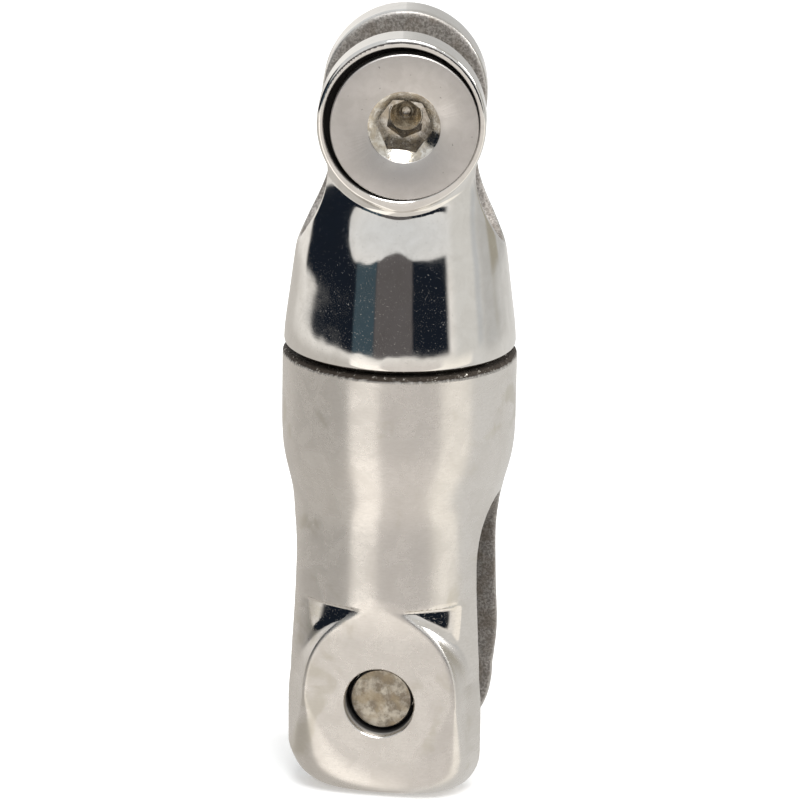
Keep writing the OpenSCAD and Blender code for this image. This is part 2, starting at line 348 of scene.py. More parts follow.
def make_object(name, points, faces):
    """A new object from millimetre points."""
    mesh = bpy.data.meshes.new(name)
    faces = faces.tolist() if isinstance(faces, np.ndarray) else faces
    mesh.from_pydata((np.asarray(points) * MM).tolist(), [], faces)
    mesh.validate()
    piece = bpy.data.objects.new(name, mesh)
    bpy.context.scene.collection.objects.link(piece)
    return piece


def skin(name, field, low, high, step):
    points, quads = surface_net(field, low, high, step)
    points = even_out(field, drop_on_skin(field, points), quads)
    print(name, len(points), "points", len(quads), "quads")
    return make_object(name, points, quads)


# %% [markdown]
# ## Lathe work and cutters
# Pins, nuts and washers are turned: an outline of (radius, height) goes once round an axis. The
# same helper makes the drills that bore the castings. A corner is broken with a small radius,
# because real edges catch the light.

# %% Lathe
def break_corners(outline, radius, steps=3):
    """Rounds every corner of an outline that is off the axis."""
    out, n = [], len(outline)
    for i, p in enumerate(outline):
        p = Vector(p)
        if i in (0, n - 1) or p.x < 1e-6:
            out.append(tuple(p))
            continue
        a, b = Vector(outline[i - 1]) - p, Vector(outline[i + 1]) - p
        if a.length < 1e-6 or b.length < 1e-6 or a.angle(b) > math.radians(170):
            out.append(tuple(p))
            continue
        cutback = min(radius / math.tan(a.angle(b) / 2), a.length * 0.45, b.length * 0.45)
        s, e = p + a.normalized() * cutback, p + b.normalized() * cutback
        for t in np.linspace(0, 1, steps + 2):
            q = s * (1 - t) ** 2 + p * 2 * t * (1 - t) + e * t ** 2
            out.append(tuple(q))
    return out


def along_y(z, flip=False, turned_by=0.0):
    """Lays a turned piece along Y at height z: its foot towards -Y, or +Y if flipped."""
    lay = Matrix.Rotation(math.radians(90 if flip else -90), 4, "X")
    return Matrix.Rotation(turned_by, 4, "Z") @ Matrix.Translation((0, 0, z)) @ lay


def turned(name, outline, place=Matrix(), segments=128):
    """Spins an outline from axis to axis, or a closed ring outline, about Z."""
    closed = outline[0][0] > 1e-6
    faces, points, rings = [], [], []
    for r, z in outline:
        if r < 1e-6:
            rings.append([len(points)])
            points.append((0, 0, z))
        else:
            rings.append(list(range(len(points), len(points) + segments)))
            points += [(r * math.cos(a), r * math.sin(a), z)
                       for a in (2 * math.pi * s / segments for s in range(segments))]
    pairs = list(zip(rings, rings[1:])) + ([(rings[-1], rings[0])] if closed else [])
    for a, b in pairs:
        for s in range(segments):
            t = (s + 1) % segments
            face = [a[s % len(a)], a[t % len(a)], b[t % len(b)], b[s % len(b)]]
            face = list(dict.fromkeys(face))
            if len(face) > 2:
                faces.append(face)
    piece = make_object(name, points, faces)
    piece.data.transform(Matrix.Scale(MM, 4) @ place @ Matrix.Scale(1 / MM, 4))
    fix_normals(piece)
    return piece


def fix_normals(piece):
    work = bmesh.new()
    work.from_mesh(piece.data)
    bmesh.ops.recalc_face_normals(work, faces=work.faces)
    work.to_mesh(piece.data)
    work.free()


def prism(name, flats, low, high, sides, place, spin=0.0):
    """A prism along its own Z from low to high: six sides make a key socket."""
    r = flats / 2 / math.cos(math.pi / sides)
    points = [(r * math.cos(spin + 2 * math.pi * s / sides), r * math.sin(spin + 2 * math.pi * s / sides), z)
              for z in (low, high) for s in range(sides)]
    faces = [list(range(sides))[::-1], list(range(sides, 2 * sides))]
    faces += [[s, (s + 1) % sides, sides + (s + 1) % sides, sides + s] for s in range(sides)]
    piece = make_object(name, points, faces)
    piece.data.transform(Matrix.Scale(MM, 4) @ place @ Matrix.Scale(1 / MM, 4))
    fix_normals(piece)
    return piece


def bake_down(piece):
    """Turns a piece with modifiers into a plain mesh."""
    graph = bpy.context.evaluated_depsgraph_get()
    mesh = bpy.data.meshes.new_from_object(piece.evaluated_get(graph))
    piece.modifiers.clear()
    piece.data = mesh
    return piece


def combine(piece, others, operation="DIFFERENCE"):
    for other in others:
        step = piece.modifiers.new(operation.lower(), "BOOLEAN")
        step.operation = operation
        step.solver = "MANIFOLD"
        step.object = other
        bake_down(piece)
        bpy.data.objects.remove(other)
    return piece


# %% [markdown]
# ## Shading the skin
# A mirror finish shows every facet, so each corner on the skin gets the field's own direction as
# its normal. Corners on bored walls keep ordinary shading, with edges over 30 degrees sharp.

# %% Exact normals
def smooth_by_angle(piece, degrees=30):
    piece.data.shade_smooth()
    piece.data.set_sharp_from_angle(angle=math.radians(degrees))


def skin_normals(piece, field):
    mesh = piece.data
    smooth_by_angle(piece, 28)
    n = len(mesh.vertices)
    p = np.empty(n * 3)
    mesh.vertices.foreach_get("co", p)
    p = p.reshape(-1, 3) / MM
    g = gradient(field, p)
    g /= np.maximum(np.linalg.norm(g, axis=1), 1e-9)[:, None]
    on_skin = np.abs(field(*p.T)) < 0.01
    corner = np.empty(len(mesh.loops) * 3)
    mesh.corner_normals.foreach_get("vector", corner)
    corner = corner.reshape(-1, 3)
    vert = np.empty(len(mesh.loops), np.int64)
    mesh.loops.foreach_get("vertex_index", vert)
    use = on_skin[vert] & ((corner * g[vert]).sum(1) > 0.8)
    corner[use] = g[vert][use]
    mesh.normals_split_custom_set(corner.tolist())
    print(piece.name, "corners on the skin:", round(float(use.mean()), 3))


def paint(piece, name, values):
    """Stores one number a point, for a material to read."""
    layer = piece.data.attributes.new(name, "FLOAT", "POINT")
    layer.data.foreach_set("value", np.ascontiguousarray(values, np.float32))


def points_of(piece):
    p = np.empty(len(piece.data.vertices) * 3)
    piece.data.vertices.foreach_get("co", p)
    return p.reshape(-1, 3) / MM


# %% [markdown]
# ## Cast the anchor fork
# The skin is netted first, then the bores are drilled with a boolean, as a machinist drills a
# casting. Each drill has a flared collar, so the mouth of every hole gets its broken edge.

# %% Drills for one pin
HEAD_R, SHOULDER_R, GRIP_R, TIP_R, TIP_END_R = 9.4, 5.0, 4.0, 3.85, 4.03
COUNTERBORE_R, COUNTERBORE, MOUTH_R = 9.88, 2.75, 4.52
PLAY = 0.05


def pin_drills(name, face, height, flip):
    place = along_y(height, flip)
    seat = turned(name + "_seat", break_corners([
        (0, -face - 2), (COUNTERBORE_R + 2.1, -face - 2), (COUNTERBORE_R + 0.12, -face),
        (COUNTERBORE_R, -face + 0.14), (COUNTERBORE_R - 0.01, -face + 0.22),
        (COUNTERBORE_R - 0.02, -face + 0.5), (COUNTERBORE_R, -face + COUNTERBORE),
        (SHOULDER_R + PLAY, -face + COUNTERBORE), (SHOULDER_R + PLAY, -JAW - 0.3),
        (SHOULDER_R + 0.4, -JAW + 0.1), (SHOULDER_R + 0.4, 0), (0, 0)], 0.06), place, 160)
    tip = turned(name + "_tip", break_corners([
        (0, 0), (TIP_END_R + 0.3, 0), (TIP_END_R + 0.3, JAW - 0.05), (TIP_END_R + PLAY, JAW + 0.3),
        (TIP_END_R + PLAY, face - 3.4), (MOUTH_R, face - 3.4), (MOUTH_R, face - 1.5),
        (MOUTH_R + 0.04, face - 1.1), (MOUTH_R + 0.04, face - 0.55), (MOUTH_R + 0.12, face - 0.4),
        (MOUTH_R + 0.12, face - 0.14), (MOUTH_R + 0.26, face), (MOUTH_R + 1.48, face + 1.2),
        (0, face + 1.2)], 0.08), place, 128)
    return [seat, tip]


def painted_bore_shade(p, face, height):
    """Painted shade in a pin's bore: none at its mouth, black deeper in, none in the jaw."""
    reach = np.hypot(p[:, 0], p[:, 2] - height)
    depth = face - np.abs(p[:, 1])
    inside = (reach < COUNTERBORE_R + 0.04) & (depth > 0.03) & (np.abs(p[:, 1]) > JAW + 0.3)
    shallow = np.where(reach > MOUTH_R + 0.78, 0.18, 0.9)
    return inside * np.clip((depth - shallow) / 0.35, 0, 1)


# %% Cast and drill
STEP = 0.33
anchor_fork = skin("anchor_fork_casting", anchor_field, (-15.3, -15.3, 0), (15.3, 15.3, JOINT), STEP)
gland_low = box_mm("gland_nut")[0]
gland_r = box_mm("gland_nut")[1][0]
washer_r = box_mm("foot_washer")[1][0]
cavity = box_mm("foot_washer")[0][2]
cavity_drill = turned("cavity_drill", [
    (0, cavity - 0.06), (washer_r + 0.1, cavity - 0.06), (washer_r + 0.1, gland_low[2] - 0.05),
    (gland_r + 0.05, gland_low[2] - 0.05), (gland_r + 0.05, JOINT - 0.4), (gland_r + 1.2, JOINT + 0.75),
    (0, JOINT + 0.75)], Matrix(), 160)
combine(anchor_fork, pin_drills("anchor", ANCHOR_FACE, ANCHOR_PIN, True) + [cavity_drill])
skin_normals(anchor_fork, anchor_field)
p = points_of(anchor_fork)
jaw_wall = jaw_field(p[:, 1], p[:, 2] - CROWN + ARCH)
paint(anchor_fork, "cast", np.clip((0.40 - jaw_wall) / 0.3, 0, 1))
buffed = np.clip((waist(p[:, 2]) - np.hypot(p[:, 0], p[:, 1]) - 0.06) / 0.15, 0, 1)
off_face = (np.abs(p[:, 2] - ANCHOR_PIN - 8.8) < 4.6) & (np.abs(p[:, 1]) < ANCHOR_FACE - 0.15)
paint(anchor_fork, "buffed", buffed * off_face)
# Painted shade: the anchor pin's bore is marked to go near black deeper in.
paint(anchor_fork, "bore_shade", painted_bore_shade(p, ANCHOR_FACE, ANCHOR_PIN))
on_rim = np.hypot(p[:, 0], p[:, 1]) > 12.8
# Partly painted shade: the chewed top edge of the barrel, under the bell's rim, is marked for near-black
# colour.
paint(anchor_fork, "burr_and_gap_shade", np.clip((p[:, 2] - JOINT + BURR + 0.04) / 0.08, 0, 1) * on_rim)
print("anchor fork faces:", len(anchor_fork.data.polygons))

# %% Cast and drill the chain fork
chain_fork = skin("chain_fork_casting", chain_field, (-15.3, -15.3, BELL), (15.3, 15.3, TOP), STEP - 0.05)
bolt_top = box_mm("swivel_bolt")[1][2]
bolt_drill = turned("bolt_drill", [
    (0, BELL - 1), (7.9, BELL - 1), (7.9, BELL + 1.85), (6.05, BELL + 1.85), (6.05, bolt_top + 0.2),
    (4.05, bolt_top + 0.2), (4.05, FLOOR - 0.6), (4.9, FLOOR + 1.5), (0, FLOOR + 1.5)], Matrix(), 128)
combine(chain_fork, pin_drills("chain", CHAIN_FACE, CHAIN_PIN, False) + [bolt_drill])
skin_normals(chain_fork, chain_field)
p = points_of(chain_fork)
paint(chain_fork, "cast", np.clip((0.40 - jaw_field(p[:, 1], FLOOR + ARCH - p[:, 2])) / 0.3, 0, 1))
# Painted shade: the chain pin's bore is marked to go near black deeper in.
paint(chain_fork, "bore_shade", painted_bore_shade(p, CHAIN_FACE, CHAIN_PIN))
chain_fork.data.transform(Matrix.Rotation(FORK_TURN, 4, "Z"))
print("chain fork faces:", len(chain_fork.data.polygons))

# %% [markdown]
# ## Threads
# A thread is a ridge that follows a helix, which is a rule, so Geometry Nodes make it: a spiral
# curve carries a three-sided profile. The ridge is closed at both ends and sits in the core.

# %% Thread tree
thread_tree = bpy.data.node_groups.new("cut_thread", "GeometryNodeTree")
face_in = thread_tree.interface
face_in.new_socket("Geometry", in_out="OUTPUT", socket_type="NodeSocketGeometry")
for label, value in (("Radius", 0.004), ("Turns", 3.0), ("Length", 0.004), ("Ridge", 0.0005)):
    face_in.new_socket(label, in_out="INPUT", socket_type="NodeSocketFloat").default_value = value
face_in.new_socket("Finish", in_out="INPUT", socket_type="NodeSocketMaterial")
nodes, links = thread_tree.nodes, thread_tree.links
into, out = nodes.new("NodeGroupInput"), nodes.new("NodeGroupOutput")
spiral, profile = nodes.new("GeometryNodeCurveSpiral"), nodes.new("GeometryNodeCurvePrimitiveCircle")
upright, sweep = nodes.new("GeometryNodeSetCurveNormal"), nodes.new("GeometryNodeCurveToMesh")
realize, finish = nodes.new("GeometryNodeRealizeInstances"), nodes.new("GeometryNodeSetMaterial")
spiral.inputs["Resolution"].default_value = 48
profile.inputs["Resolution"].default_value = 3
sweep.inputs["Fill Caps"].default_value = True
upright.mode = "Z_UP"
links.new(into.outputs["Radius"], spiral.inputs["Start Radius"])
links.new(into.outputs["Radius"], spiral.inputs["End Radius"])
links.new(into.outputs["Turns"], spiral.inputs["Rotations"])
links.new(into.outputs["Length"], spiral.inputs["Height"])
links.new(into.outputs["Ridge"], profile.inputs["Radius"])
links.new(spiral.outputs["Curve"], upright.inputs["Curve"])
links.new(upright.outputs["Curve"], sweep.inputs["Curve"])
links.new(profile.outputs["Curve"], sweep.inputs["Profile Curve"])
links.new(sweep.outputs["Mesh"], realize.inputs["Geometry"])
links.new(realize.outputs["Geometry"], finish.inputs["Geometry"])
links.new(into.outputs["Finish"], finish.inputs["Material"])
links.new(finish.outputs["Geometry"], out.inputs["Geometry"])
print("thread inputs:", [s.name for s in face_in.items_tree if s.in_out == "INPUT"])


# %% Run a thread
def thread(name, crest, start, end, pitch, place=Matrix()):
    """A thread ridge whose crest has that radius, along its own Z from start to end."""
    ridge = 0.55 * pitch
    piece = make_object(name, [(0, 0, 0)], [])
    step = piece.modifiers.new("cut_thread", "NODES")
    step.node_group = thread_tree
    values = {"Radius": (crest - ridge) * MM, "Turns": (end - start - pitch) / pitch,
              "Length": (end - start - pitch) * MM, "Ridge": ridge * MM}
    for socket in thread_tree.interface.items_tree:
        if socket.in_out == "INPUT" and socket.name in values:
            step[socket.identifier] = values[socket.name]
    bake_down(piece)
    shift = Matrix.Translation((0, 0, start + pitch / 2))
    piece.data.transform(Matrix.Scale(MM, 4) @ place @ shift @ Matrix.Scale(1 / MM, 4))
    fix_normals(piece)
    print(name, "faces", len(piece.data.polygons))
    return piece


def join(piece, others):
    for o in bpy.context.view_layer.objects:
        o.select_set(False)
    for o in others + [piece]:
        o.select_set(True)
    bpy.context.view_layer.objects.active = piece
    bpy.ops.object.join()
    return piece


# %% [markdown]
# ## The two pins
# Each pin is one turned piece: a wide flat head, a shoulder, a plain grip that the chain or the
# shank bears on, a run-out groove and a threaded tip. A drill leaves a cone under the broached
# hexagon, and the countersink round it shows as a bright ring.

# %% Turn a pin
SOCKET, SOCKET_DEEP, KEY, KEY_DEEP = 6.4, 5.0, 4.4, 2.4
SOCKET_TURN = math.radians(6.0)
TIP_INSET, LOCK_R = 1.9, 2.1


def disc_pin(name, face, height, flip=False, turned_by=0.0, aside=(0, 0)):
    """The head and what is drilled in it may sit a little aside of the grip."""
    place = along_y(height, flip, turned_by)
    off = place @ Matrix.Translation((aside[0], -aside[1], 0))
    head, tip = -face + 0.05, face - TIP_INSET
    pin = turned(name, break_corners([
        (0, head + 1), (SHOULDER_R, head + 1), (SHOULDER_R, -JAW), (GRIP_R, -JAW), (GRIP_R, JAW - 0.1),
        (TIP_R - 0.5, JAW - 0.1), (TIP_R - 0.5, tip - 1.5), (TIP_END_R, tip - 1.0), (TIP_END_R, tip - 0.14),
        (TIP_END_R - 0.14, tip), (0, tip)], 0.10), place, 160)
    disc = turned(name + "_disc", break_corners([
        (0, head), (HEAD_R - 0.14, head), (HEAD_R, head + 0.14), (HEAD_R, head + 2.4),
        (0, head + 2.4)], 0.04), off, 192)
    combine(pin, [disc], "UNION")
    hexagon = prism(name + "_hexagon", SOCKET, head - 1, head + SOCKET_DEEP, 6, off, SOCKET_TURN)
    key = prism(name + "_key", KEY, head, head + SOCKET_DEEP + KEY_DEEP, 6, off, SOCKET_TURN + math.pi / 6)
    sink = SOCKET / math.sqrt(3)
    cone = turned(name + "_countersink", [
        (0, head - 1), (sink + 1.98, head - 1), (sink + 1.0, head - 0.02), (sink + 0.86, head + 0.06),
        (sink - 0.55, head + 1.35), (0, head + 1.35)], off, 96)
    bore = turned(name + "_bore", [
        (0, head), (LOCK_R + 0.05, head), (LOCK_R + 0.05, head + 14.5), (0, head + 15.2)], off, 64)
    combine(pin, [hexagon, cone, key, bore])
    smooth_by_angle(pin, 30)
    ridge = thread(name + "_thread", TIP_R, JAW + 0.6, tip - 0.9, 1.0, place)
    smooth_by_angle(ridge, 50)
    return join(pin, [ridge])


def lock_screw(name, face, height, flip=False, turned_by=0.0, aside=(0, 0)):
    place = along_y(height, flip, turned_by) @ Matrix.Translation((aside[0], -aside[1], 0))
    start = -face + 0.05 + SOCKET_DEEP + KEY_DEEP
    screw = turned(name, break_corners([
        (0, start + 2.35), (0.55, start + 2.3), (0.72, start + 1.95), (0.90, start + 1.80),
        (LOCK_R - 0.12, start), (LOCK_R, start), (LOCK_R, start + 0.9), (LOCK_R - 0.35, start + 1.2),
        (LOCK_R - 0.35, start + 6.2), (LOCK_R - 0.75, start + 6.6), (0, start + 6.6)], 0.05), place, 96)
    smooth_by_angle(screw, 30)
    ridge = thread(name + "_thread", LOCK_R, start + 1.0, start + 6.4, 0.7, place)
    return join(screw, [ridge])


ASIDE = (0.38, -0.36)
chain_pin = disc_pin("chain_pin_turned", CHAIN_FACE, CHAIN_PIN, False, FORK_TURN, ASIDE)
anchor_pin = disc_pin("anchor_pin_turned", ANCHOR_FACE, ANCHOR_PIN, True)
chain_lock = lock_screw("chain_pin_lock_screw_turned", CHAIN_FACE, CHAIN_PIN, False, FORK_TURN, ASIDE)
anchor_lock = lock_screw("anchor_pin_lock_screw_turned", ANCHOR_FACE, ANCHOR_PIN, True)

# %% [markdown]
# ## Washers, bush, collar and bolt
# These sit inside the joint. They are short lathe jobs with broken edges, at the sizes of their
# CAD nodes, and the bolt and the collar get their threads.


# %% Turn the inner pieces
def washer(name, node, inner, place=Matrix(), low=None, high=None, outer=None, edge=0.12):
    a, b = box_mm(node)
    low, high = a[2] if low is None else low, b[2] if high is None else high
    outer = b[0] if outer is None else outer
    ring = [(inner, low), (outer, low), (outer, high), (inner, high)]
    ring = break_corners([ring[-1]] + ring + [ring[0]], edge)[1:-1]
    piece = turned(name, ring, place, 128)
    smooth_by_angle(piece, 35)
    return piece


def head_washer(name, face, height, flip=False, turned_by=0.0):
    low = -face + COUNTERBORE - 0.3
    return washer(name, "foot_washer", SHOULDER_R + 0.3, along_y(height, flip, turned_by),
                  low, low + 0.28, HEAD_R - 0.4, 0.05)


chain_head_washer = head_washer("chain_pin_washer_pressed", CHAIN_FACE, CHAIN_PIN, False, FORK_TURN)
anchor_head_washer = head_washer("anchor_pin_washer_pressed", ANCHOR_FACE, ANCHOR_PIN, True)
load_washer = washer("load_washer_turned", "load_washer", 6.3)
ring_washer = washer("ring_washer_pressed", "ring_washer", 8.2, edge=0.05)
bush = washer("journal_bush_turned", "journal_bush", 6.05)
foot_low, foot_high = box_mm("foot_washer")
foot_washer = turned("foot_washer_turned", break_corners([
    (0, foot_low[2]), (foot_high[0], foot_low[2]), (foot_high[0], foot_high[2]), (1.6, foot_high[2]),
    (1.6, foot_high[2] - 0.3), (0, foot_high[2] - 0.3)], 0.12), Matrix(), 128)
smooth_by_angle(foot_washer, 35)

collar = washer("gland_nut_turned", "gland_nut", 7.3, outer=gland_r - 0.5, edge=0.25)
holes = [turned("spanner_hole", [(0, JOINT - 3), (0.9, JOINT - 3), (0.9, JOINT + 1), (0, JOINT + 1)],
                Matrix.Translation((s * 9.1, 0, 0)), 32) for s in (-1, 1)]
combine(collar, holes)
smooth_by_angle(collar, 35)
gland_top = box_mm("gland_nut")[1][2]
collar = join(collar, [thread("gland_thread", gland_r, gland_low[2] + 0.3, gland_top - 0.3, 1.25)])

bolt_low, bolt_high = box_mm("swivel_bolt")
head_top = bolt_low[2] + 4.4
bolt = turned("swivel_bolt_turned", break_corners([
    (0, bolt_low[2]), (bolt_high[0], bolt_low[2]), (bolt_high[0], head_top), (6.0, head_top),
    (6.0, BELL + 2.2), (5.3, BELL + 2.6), (5.3, bolt_high[2] - 0.4), (4.9, bolt_high[2]),
    (0, bolt_high[2])], 0.2), Matrix(), 128)
smooth_by_angle(bolt, 35)
bolt = join(bolt, [thread("bolt_thread", 6.0, BELL + 2.5, bolt_high[2] - 0.3, 1.25)])

stub_low, stub_high = box_mm("bolt_lock_screw")
stub = turned("bolt_lock_screw_turned", break_corners([
    (0, stub_low[2]), (3.0, stub_low[2]), (3.5, stub_low[2] + 0.5), (3.5, stub_high[2] - 0.4),
    (3.1, stub_high[2]), (0, stub_high[2])], 0.1), Matrix(), 96)
combine(stub, [prism("stub_key", 4.0, stub_high[2] - 2.2, stub_high[2] + 1, 6, Matrix())])
smooth_by_angle(stub, 35)
stub = join(stub, [thread("stub_thread", 4.0, stub_low[2] + 0.2, stub_high[2] - 0.2, 1.0)])

seal_low, seal_high = box_mm("bolt_seal")
seal_r = (seal_high[2] - seal_low[2]) / 2
seal = turned("bolt_seal_moulded", [
    (seal_high[0] - seal_r + seal_r * math.cos(a), seal_low[2] + seal_r + seal_r * math.sin(a))
    for a in np.linspace(0, 2 * math.pi, 24, endpoint=False)], Matrix(), 96)
smooth_by_angle(seal, 60)
print("inner pieces made")

# %% [markdown]
# ## Tools for finishes
# Every finish is built from nodes. These helpers keep each recipe short: one adds a node and
# plugs it in, one makes a noise at a size in millimetres, one turns a noise into a mask, and one
# blends two colours or values by a mask. Patterns read Object coordinates, so they stay put.


# %% Node helpers
def add(tree, kind, plugs=None, **settings):
    node = tree.nodes.new(kind)
    for key, value in settings.items():
        setattr(node, key, value)
    for key, value in (plugs or {}).items():
        if isinstance(value, bpy.types.NodeSocket):
            tree.links.new(value, node.inputs[key])
        else:
            node.inputs[key].default_value = value
    return node


def place_of(tree, stretch=(1, 1, 1), turned_by=(0, 0, 0), centre=(0, 0, 0)):
    """Object coordinates in millimetres, moved to a centre, turned and stretched."""
    at = add(tree, "ShaderNodeTexCoord").outputs["Object"]
    at = add(tree, "ShaderNodeVectorMath", {0: at, 1: centre}, operation="SUBTRACT").outputs[0]
    scale = [s / MM for s in stretch]
    return add(tree, "ShaderNodeMapping", {"Vector": at, "Rotation": turned_by, "Scale": scale}).outputs[0]


def noise(tree, at, size, detail=2.0, twist=0.0, rough=0.5):
    """Noise whose blobs are about that many millimetres across."""
    return add(tree, "ShaderNodeTexNoise", {"Vector": at, "Scale": 1 / size, "Detail": detail,
                                            "Distortion": twist, "Roughness": rough}).outputs["Fac"]


def mask(tree, value, low, high, a=0.0, b=1.0):
    return add(tree, "ShaderNodeMapRange", {"Value": value, "From Min": low, "From Max": high,
                                            "To Min": a, "To Max": b},
               interpolation_type="SMOOTHSTEP").outputs[0]


def math_node(tree, operation, *values):
    return add(tree, "ShaderNodeMath", dict(enumerate(values)), operation=operation).outputs[0]


def colour_by(tree, fac, a, b, way="MIX"):
    a = a if isinstance(a, bpy.types.NodeSocket) else (*a, 1)
    b = b if isinstance(b, bpy.types.NodeSocket) else (*b, 1)
    return add(tree, "ShaderNodeMix", {0: fac, 6: a, 7: b}, data_type="RGBA", blend_type=way).outputs[2]


def value_by(tree, fac, a, b):
    return add(tree, "ShaderNodeMix", {0: fac, 2: a, 3: b}, data_type="FLOAT").outputs[0]


def relief(tree, height, depth, under=None):
    """A bump whose height is that many millimetres."""
    plugs = {"Height": height, "Distance": depth * MM, "Strength": 1.0}
    if under is not None:
        plugs["Normal"] = under
    return add(tree, "ShaderNodeBump", plugs).outputs["Normal"]


def streaks(tree, along, size, length, low, high):
    """Sparse fine scratches that run along one direction."""
    at = place_of(tree, (1 / size, 1 / length, 1 / size), along)
    return mask(tree, noise(tree, at, 1.0, 0.0), low, high)


def new_finish(name, **fixed):
    material = bpy.data.materials.new(name)
    material.use_nodes = True
    tree = material.node_tree
    tree.nodes.clear()
    metal = add(tree, "ShaderNodeBsdfPrincipled", {key.replace("_", " "): v for key, v in fixed.items()})
    add(tree, "ShaderNodeOutputMaterial", {"Surface": metal.outputs[0]})
    return material, tree, metal


def plug(tree, metal, **sockets):
    for key, value in sockets.items():
        tree.links.new(value, metal.inputs[key.replace("_", " ")])


# %% [markdown]
# ## Satin stainless, as cast inside
# The anchor fork is linished to a satin skin: short fine lines round it, faint clouds and a few
# tea-coloured stains where sea water dried. Inside the jaw it is left as cast, dark and grainy.
# The barrel's top edge is a chewed burr with bright nicks. It is painted near black to dark
# brown as the shade in the joint's gap under the bell. The bores are painted near black deeper
# in, as shade. These last three follow masks that were painted on the mesh's points.

# %% Satin finish
def as_cast(tree):
    """Colour, roughness and height of the rough inside of a jaw."""
    grain = noise(tree, place_of(tree), 0.32, 3.0, 0.4, 0.65)
    lumps = noise(tree, place_of(tree), 2.4, 3.0)
    colour = colour_by(tree, mask(tree, grain, 0.35, 0.7), (0.215, 0.198, 0.184), (0.50, 0.472, 0.44))
    colour = colour_by(tree, mask(tree, lumps, 0.45, 0.72, 0.0, 0.6), colour, (0.20, 0.165, 0.13))
    height = value_by(tree, 0.6, grain, lumps)
    return colour, height


satin, tree, metal = new_finish("satin_stainless", Anisotropic=0.75, Anisotropic_Rotation=0.25)
at = add(tree, "ShaderNodeTexCoord").outputs["Object"]
around = add(tree, "ShaderNodeVectorMath", {0: (0, 0, 1), 1: at}, operation="CROSS_PRODUCT").outputs[0]
tree.links.new(around, metal.inputs["Tangent"])
clouds = noise(tree, place_of(tree), 3.6, 4.0, 0.5, 0.6)
wide = noise(tree, place_of(tree, centre=(0.004, 0.002, 0.001)), 9.0, 2.0, 0.8)
lines = noise(tree, place_of(tree, (0.55, 0.55, 5.0)), 1.0, 3.0, 0.0, 0.7)
grit = noise(tree, place_of(tree), 0.16, 1.0)
stain = mask(tree, value_by(tree, 0.35, wide, clouds), 0.565, 0.66)
cast_colour, cast_height = as_cast(tree)
cast = add(tree, "ShaderNodeAttribute", attribute_name="cast").outputs["Fac"]
burr_and_gap_shade = add(tree, "ShaderNodeAttribute", attribute_name="burr_and_gap_shade").outputs["Fac"]
chips = noise(tree, place_of(tree, (1, 1, 1.6)), 0.75, 4.0, 0.6, 0.7)
nicks = mask(tree, chips, 0.60, 0.64)
colour = colour_by(tree, mask(tree, clouds, 0.3, 0.72), (0.775, 0.750, 0.722), (0.715, 0.688, 0.655))
fine = noise(tree, place_of(tree, (1, 1, 2.2)), 0.55, 3.0, 0.3, 0.6)
colour = colour_by(tree, mask(tree, fine, 0.35, 0.7, 0.0, 0.22), colour, (0.60, 0.57, 0.53))
colour = colour_by(tree, mask(tree, lines, 0.3, 0.75, 0.0, 0.16), colour, (0.58, 0.55, 0.51))
colour = colour_by(tree, math_node(tree, "MULTIPLY", stain, 0.34), colour, (0.55, 0.51, 0.40))
# Partly a real burr, partly painted shade: the barrel's top edge goes near black to dark brown as the shade in
# the gap under the bell, with bright bare nicks.
burr_and_gap_shade_colour = colour_by(tree, nicks, colour_by(tree, chips, (0.012, 0.010, 0.008), (0.085, 0.062, 0.045)),
                        (0.60, 0.57, 0.52))
# Painted shade: deep in the pin bores the colour is near black, and the lines below make it rougher and less
# metallic.
colour = colour_by(tree, add(tree, "ShaderNodeAttribute", attribute_name="bore_shade").outputs["Fac"],
                   colour_by(tree, cast, colour, cast_colour), (0.016, 0.013, 0.011))
colour = colour_by(tree, burr_and_gap_shade, colour, burr_and_gap_shade_colour)
rough = mask(tree, clouds, 0.2, 0.8, 0.235, 0.32)
rough = value_by(tree, stain, rough, 0.36)
buffed = add(tree, "ShaderNodeAttribute", attribute_name="buffed").outputs["Fac"]
rough = value_by(tree, buffed, rough, 0.05)
bore_shade = add(tree, "ShaderNodeAttribute", attribute_name="bore_shade").outputs["Fac"]
rough = value_by(tree, bore_shade, rough, 0.70)
soft = math_node(tree, "SUBTRACT", 1.0, buffed)
lines = math_node(tree, "MULTIPLY", lines, soft)
grit = math_node(tree, "MULTIPLY", grit, soft)
rough = value_by(tree, cast, rough, 0.62)
rough = value_by(tree, burr_and_gap_shade, rough, value_by(tree, nicks, 0.66, 0.30))
shine = value_by(tree, cast, 1.0, 0.72)
shine = value_by(tree, bore_shade, shine, 0.2)
shine = value_by(tree, burr_and_gap_shade, shine, value_by(tree, nicks, 0.35, 1.0))
bump = relief(tree, lines, 0.0035)
bump = relief(tree, grit, 0.0022, bump)
scratches = streaks(tree, (0.7, 0.3, 1.1), 0.12, 3.5, 0.74, 0.80)
bump = relief(tree, math_node(tree, "MULTIPLY", scratches, -1.0), 0.004, bump)
bump = relief(tree, math_node(tree, "MULTIPLY", cast_height, cast), 0.16, bump)
bump = relief(tree, math_node(tree, "MULTIPLY", chips, burr_and_gap_shade), 0.55, bump)
plug(tree, metal, Base_Color=colour, Roughness=rough, Metallic=shine, Normal=bump)
print("satin nodes:", len(tree.nodes))

# %% [markdown]
# ## Mirror stainless
# The bell is buffed. A buffed casting isn't optically flat, so what it mirrors wavers a little.
# Its haze is uneven and a few hairlines cross it.

